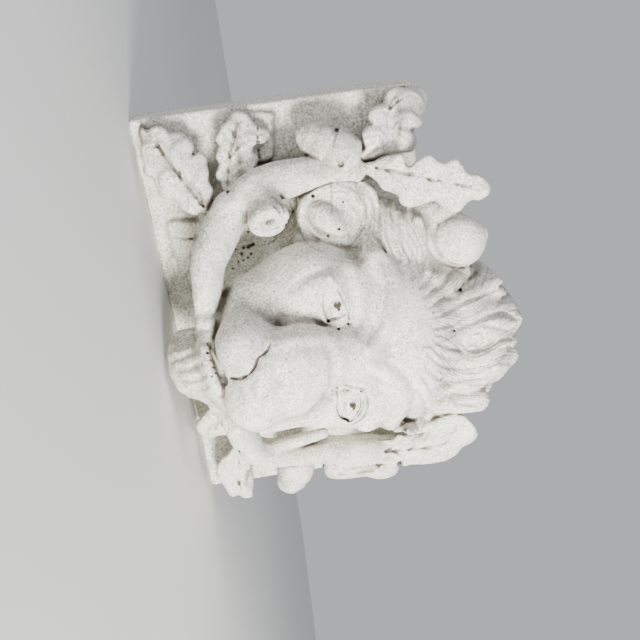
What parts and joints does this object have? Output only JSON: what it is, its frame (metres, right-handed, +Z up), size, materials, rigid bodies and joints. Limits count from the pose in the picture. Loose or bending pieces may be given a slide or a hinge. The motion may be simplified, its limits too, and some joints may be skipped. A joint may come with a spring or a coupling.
{
  "type": "lion head fountain mask",
  "caption": "Rectangular cast stone block for a wall: a lion's head in high relief bites an oak branch with leaves and acorns.",
  "frame": {"origin": "centre of the plate's flat back face, where it meets the wall", "axes": "+Z up, +X to the viewer's right, +Y into the wall; the face looks along -Y"},
  "size_m": [0.4724, 0.2238, 0.377],
  "materials": {
    "stone": "matt cast limestone, fine sandy grain"
  },
  "bodies": {
    "root": {"lion_head_block": "stone"}
  },
  "joints": []
}
